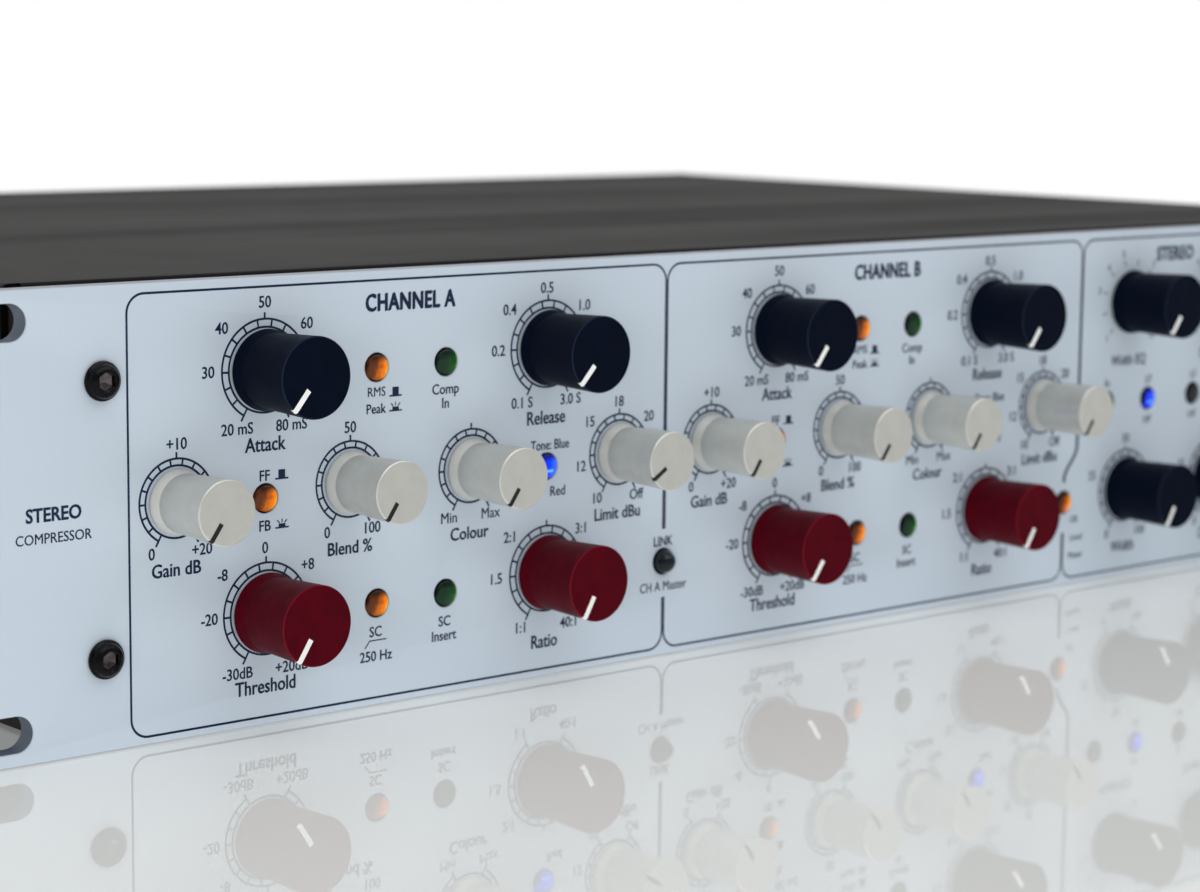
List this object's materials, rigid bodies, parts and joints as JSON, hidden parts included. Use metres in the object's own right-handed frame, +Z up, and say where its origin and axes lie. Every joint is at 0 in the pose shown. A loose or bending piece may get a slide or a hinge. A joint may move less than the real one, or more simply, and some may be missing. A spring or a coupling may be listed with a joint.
{
  "type": "rack compressor",
  "caption": "Two-channel 2U rack compressor with rotary knobs, lit push buttons, bar meters and a folded steel case with rear sockets.",
  "frame": {"origin": "centre of the unit's footprint, at the height of the front panel's bottom edge", "axes": "+X to the right seen from the front, +Y to the rear, +Z up"},
  "size_m": [0.4826, 0.3354, 0.0881],
  "materials": {
    "panel_finish": "satin",
    "chassis_paint": "satin",
    "cover_paint": "satin",
    "knob_dark": "satin anodised",
    "knob_grey": "satin anodised",
    "knob_burgundy": "satin anodised",
    "button_orange": "translucent",
    "button_green": "translucent",
    "button_blue": "translucent",
    "button_unlit": "translucent",
    "black_screw": "black oxide",
    "bright_metal": "nickel plate",
    "black_metal": "satin",
    "black_plastic": "moulded",
    "circuit_board": "solder mask",
    "meter_lens": "tinted",
    "copper_winding": "varnished"
  },
  "bodies": {
    "root": {"front_panel": "panel_finish", "chassis_tray": "chassis_paint", "top_cover": "cover_paint", "rear_panel": "chassis_paint", "front_screw_left_top": "black_screw", "front_screw_left_bottom": "black_screw", "front_screw_right_top": "black_screw", "front_screw_right_bottom": "black_screw", "control_board": "circuit_board", "meter_module": "meter_lens", "main_board": "circuit_board", "mains_transformer": "copper_winding", "xlr_in_a": "black_metal", "xlr_out_a": "black_metal", "xlr_in_b": "black_metal", "xlr_out_b": "black_metal", "insert_jack_board": "black_plastic", "mains_inlet": "black_plastic"},
    "knob_attack_a": {"knob_attack_a": "knob_dark"},
    "knob_release_a": {"knob_release_a": "knob_dark"},
    "knob_gain_a": {"knob_gain_a": "knob_grey"},
    "knob_blend_a": {"knob_blend_a": "knob_grey"},
    "knob_colour_a": {"knob_colour_a": "knob_grey"},
    "knob_limit_a": {"knob_limit_a": "knob_grey"},
    "knob_threshold_a": {"knob_threshold_a": "knob_burgundy"},
    "knob_ratio_a": {"knob_ratio_a": "knob_burgundy"},
    "knob_attack_b": {"knob_attack_b": "knob_dark"},
    "knob_release_b": {"knob_release_b": "knob_dark"},
    "knob_gain_b": {"knob_gain_b": "knob_grey"},
    "knob_blend_b": {"knob_blend_b": "knob_grey"},
    "knob_colour_b": {"knob_colour_b": "knob_grey"},
    "knob_limit_b": {"knob_limit_b": "knob_grey"},
    "knob_threshold_b": {"knob_threshold_b": "knob_burgundy"},
    "knob_ratio_b": {"knob_ratio_b": "knob_burgundy"},
    "knob_width_eq": {"knob_width_eq": "knob_dark"},
    "knob_width_level": {"knob_width_level": "knob_dark"},
    "knob_depth_eq": {"knob_depth_eq": "knob_dark"},
    "knob_depth_level": {"knob_depth_level": "knob_dark"},
    "button_detector_a": {"button_detector_a": "button_orange"},
    "button_comp_in_a": {"button_comp_in_a": "button_green"},
    "button_feedback_a": {"button_feedback_a": "button_orange"},
    "button_tone_a": {"button_tone_a": "button_blue"},
    "button_sc_filter_a": {"button_sc_filter_a": "button_orange"},
    "button_sc_insert_a": {"button_sc_insert_a": "button_green"},
    "button_detector_b": {"button_detector_b": "button_orange"},
    "button_comp_in_b": {"button_comp_in_b": "button_green"},
    "button_feedback_b": {"button_feedback_b": "button_orange"},
    "button_tone_b": {"button_tone_b": "button_blue"},
    "button_sc_filter_b": {"button_sc_filter_b": "button_orange"},
    "button_sc_insert_b": {"button_sc_insert_b": "button_green"},
    "button_link": {"button_link": "button_unlit"},
    "button_meter_select": {"button_meter_select": "button_orange"},
    "button_stereo_in": {"button_stereo_in": "button_green"},
    "button_width_freq": {"button_width_freq": "button_blue"},
    "button_depth_freq": {"button_depth_freq": "button_unlit"},
    "button_depth_in": {"button_depth_in": "button_unlit"},
    "button_power": {"button_power": "button_blue"},
    "xlr_release_tab_a": {"xlr_release_tab_a": "bright_metal"},
    "xlr_release_tab_b": {"xlr_release_tab_b": "bright_metal"},
    "fuse_drawer": {"fuse_drawer": "black_plastic"}
  },
  "joints": [
    {"name": "turn_attack_a", "type": "hinge", "parent": "root", "child": "knob_attack_a", "pos_m": [-0.1754, -0.1503, 0.07005], "axis": [0, 1, 0], "range_deg": [0, 300]},
    {"name": "turn_release_a", "type": "hinge", "parent": "root", "child": "knob_release_a", "pos_m": [-0.1041, -0.1503, 0.07005], "axis": [0, 1, 0], "range_deg": [0, 300]},
    {"name": "turn_gain_a", "type": "hinge", "parent": "root", "child": "knob_gain_a", "pos_m": [-0.1957, -0.1503, 0.04615], "axis": [0, 1, 0], "range_deg": [0, 300]},
    {"name": "turn_blend_a", "type": "hinge", "parent": "root", "child": "knob_blend_a", "pos_m": [-0.1551, -0.1503, 0.04615], "axis": [0, 1, 0], "range_deg": [0, 300]},
    {"name": "turn_colour_a", "type": "hinge", "parent": "root", "child": "knob_colour_a", "pos_m": [-0.1245, -0.1503, 0.04615], "axis": [0, 1, 0], "range_deg": [0, 300]},
    {"name": "turn_limit_a", "type": "hinge", "parent": "root", "child": "knob_limit_a", "pos_m": [-0.0839, -0.1503, 0.04615], "axis": [0, 1, 0], "range_deg": [-20, 280]},
    {"name": "turn_threshold_a", "type": "hinge", "parent": "root", "child": "knob_threshold_a", "pos_m": [-0.1754, -0.1503, 0.02225], "axis": [0, 1, 0], "range_deg": [0, 300]},
    {"name": "turn_ratio_a", "type": "hinge", "parent": "root", "child": "knob_ratio_a", "pos_m": [-0.1041, -0.1503, 0.02225], "axis": [0, 1, 0], "range_deg": [0, 300]},
    {"name": "turn_attack_b", "type": "hinge", "parent": "root", "child": "knob_attack_b", "pos_m": [-0.0366, -0.1503, 0.07005], "axis": [0, 1, 0], "range_deg": [0, 300]},
    {"name": "turn_release_b", "type": "hinge", "parent": "root", "child": "knob_release_b", "pos_m": [0.0347, -0.1503, 0.07005], "axis": [0, 1, 0], "range_deg": [0, 300]},
    {"name": "turn_gain_b", "type": "hinge", "parent": "root", "child": "knob_gain_b", "pos_m": [-0.0569, -0.1503, 0.04615], "axis": [0, 1, 0], "range_deg": [0, 300]},
    {"name": "turn_blend_b", "type": "hinge", "parent": "root", "child": "knob_blend_b", "pos_m": [-0.0163, -0.1503, 0.04615], "axis": [0, 1, 0], "range_deg": [0, 300]},
    {"name": "turn_colour_b", "type": "hinge", "parent": "root", "child": "knob_colour_b", "pos_m": [0.0143, -0.1503, 0.04615], "axis": [0, 1, 0], "range_deg": [0, 300]},
    {"name": "turn_limit_b", "type": "hinge", "parent": "root", "child": "knob_limit_b", "pos_m": [0.0549, -0.1503, 0.04615], "axis": [0, 1, 0], "range_deg": [0, 300]},
    {"name": "turn_threshold_b", "type": "hinge", "parent": "root", "child": "knob_threshold_b", "pos_m": [-0.0366, -0.1503, 0.02225], "axis": [0, 1, 0], "range_deg": [0, 300]},
    {"name": "turn_ratio_b", "type": "hinge", "parent": "root", "child": "knob_ratio_b", "pos_m": [0.0347, -0.1503, 0.02225], "axis": [0, 1, 0], "range_deg": [0, 300]},
    {"name": "turn_width_eq", "type": "hinge", "parent": "root", "child": "knob_width_eq", "pos_m": [0.088, -0.1503, 0.07005], "axis": [0, 1, 0], "range_deg": [0, 270]},
    {"name": "turn_width_level", "type": "hinge", "parent": "root", "child": "knob_width_level", "pos_m": [0.088, -0.1503, 0.02225], "axis": [0, 1, 0], "range_deg": [0, 300]},
    {"name": "turn_depth_eq", "type": "hinge", "parent": "root", "child": "knob_depth_eq", "pos_m": [0.124, -0.1503, 0.07005], "axis": [0, 1, 0], "range_deg": [0, 270]},
    {"name": "turn_depth_level", "type": "hinge", "parent": "root", "child": "knob_depth_level", "pos_m": [0.124, -0.1503, 0.02225], "axis": [0, 1, 0], "range_deg": [0, 300]},
    {"name": "press_detector_a", "type": "slide", "parent": "root", "child": "button_detector_a", "axis": [0, 1, 0], "range_m": [-0.0022, 0.0008]},
    {"name": "press_comp_in_a", "type": "slide", "parent": "root", "child": "button_comp_in_a", "axis": [0, 1, 0], "range_m": [-0.0022, 0.0008]},
    {"name": "press_feedback_a", "type": "slide", "parent": "root", "child": "button_feedback_a", "axis": [0, 1, 0], "range_m": [-0.0022, 0.0008]},
    {"name": "press_tone_a", "type": "slide", "parent": "root", "child": "button_tone_a", "axis": [0, 1, 0], "range_m": [-0.0022, 0.0008]},
    {"name": "press_sc_filter_a", "type": "slide", "parent": "root", "child": "button_sc_filter_a", "axis": [0, 1, 0], "range_m": [-0.0022, 0.0008]},
    {"name": "press_sc_insert_a", "type": "slide", "parent": "root", "child": "button_sc_insert_a", "axis": [0, 1, 0], "range_m": [-0.0022, 0.0008]},
    {"name": "press_detector_b", "type": "slide", "parent": "root", "child": "button_detector_b", "axis": [0, 1, 0], "range_m": [-0.0022, 0.0008]},
    {"name": "press_comp_in_b", "type": "slide", "parent": "root", "child": "button_comp_in_b", "axis": [0, 1, 0], "range_m": [-0.0022, 0.0008]},
    {"name": "press_feedback_b", "type": "slide", "parent": "root", "child": "button_feedback_b", "axis": [0, 1, 0], "range_m": [-0.0022, 0.0008]},
    {"name": "press_tone_b", "type": "slide", "parent": "root", "child": "button_tone_b", "axis": [0, 1, 0], "range_m": [-0.0022, 0.0008]},
    {"name": "press_sc_filter_b", "type": "slide", "parent": "root", "child": "button_sc_filter_b", "axis": [0, 1, 0], "range_m": [-0.0022, 0.0008]},
    {"name": "press_sc_insert_b", "type": "slide", "parent": "root", "child": "button_sc_insert_b", "axis": [0, 1, 0], "range_m": [-0.0022, 0.0008]},
    {"name": "press_link", "type": "slide", "parent": "root", "child": "button_link", "axis": [0, 1, 0], "range_m": [0, 0.003]},
    {"name": "press_meter_select", "type": "slide", "parent": "root", "child": "button_meter_select", "axis": [0, 1, 0], "range_m": [-0.0022, 0.0008]},
    {"name": "press_stereo_in", "type": "slide", "parent": "root", "child": "button_stereo_in", "axis": [0, 1, 0], "range_m": [-0.0022, 0.0008]},
    {"name": "press_width_freq", "type": "slide", "parent": "root", "child": "button_width_freq", "axis": [0, 1, 0], "range_m": [-0.0022, 0.0008]},
    {"name": "press_depth_freq", "type": "slide", "parent": "root", "child": "button_depth_freq", "axis": [0, 1, 0], "range_m": [-0.0022, 0.0008]},
    {"name": "press_depth_in", "type": "slide", "parent": "root", "child": "button_depth_in", "axis": [0, 1, 0], "range_m": [-0.0022, 0.0008]},
    {"name": "press_power", "type": "slide", "parent": "root", "child": "button_power", "axis": [0, 1, 0], "range_m": [-0.0022, 0.0008]},
    {"name": "push_release_tab_a", "type": "slide", "parent": "root", "child": "xlr_release_tab_a", "axis": [0, -1, 0], "range_m": [0, 0.002]},
    {"name": "push_release_tab_b", "type": "slide", "parent": "root", "child": "xlr_release_tab_b", "axis": [0, -1, 0], "range_m": [0, 0.002]},
    {"name": "pull_fuse_drawer", "type": "slide", "parent": "root", "child": "fuse_drawer", "axis": [0, 1, 0], "range_m": [0, 0.016]}
  ]
}
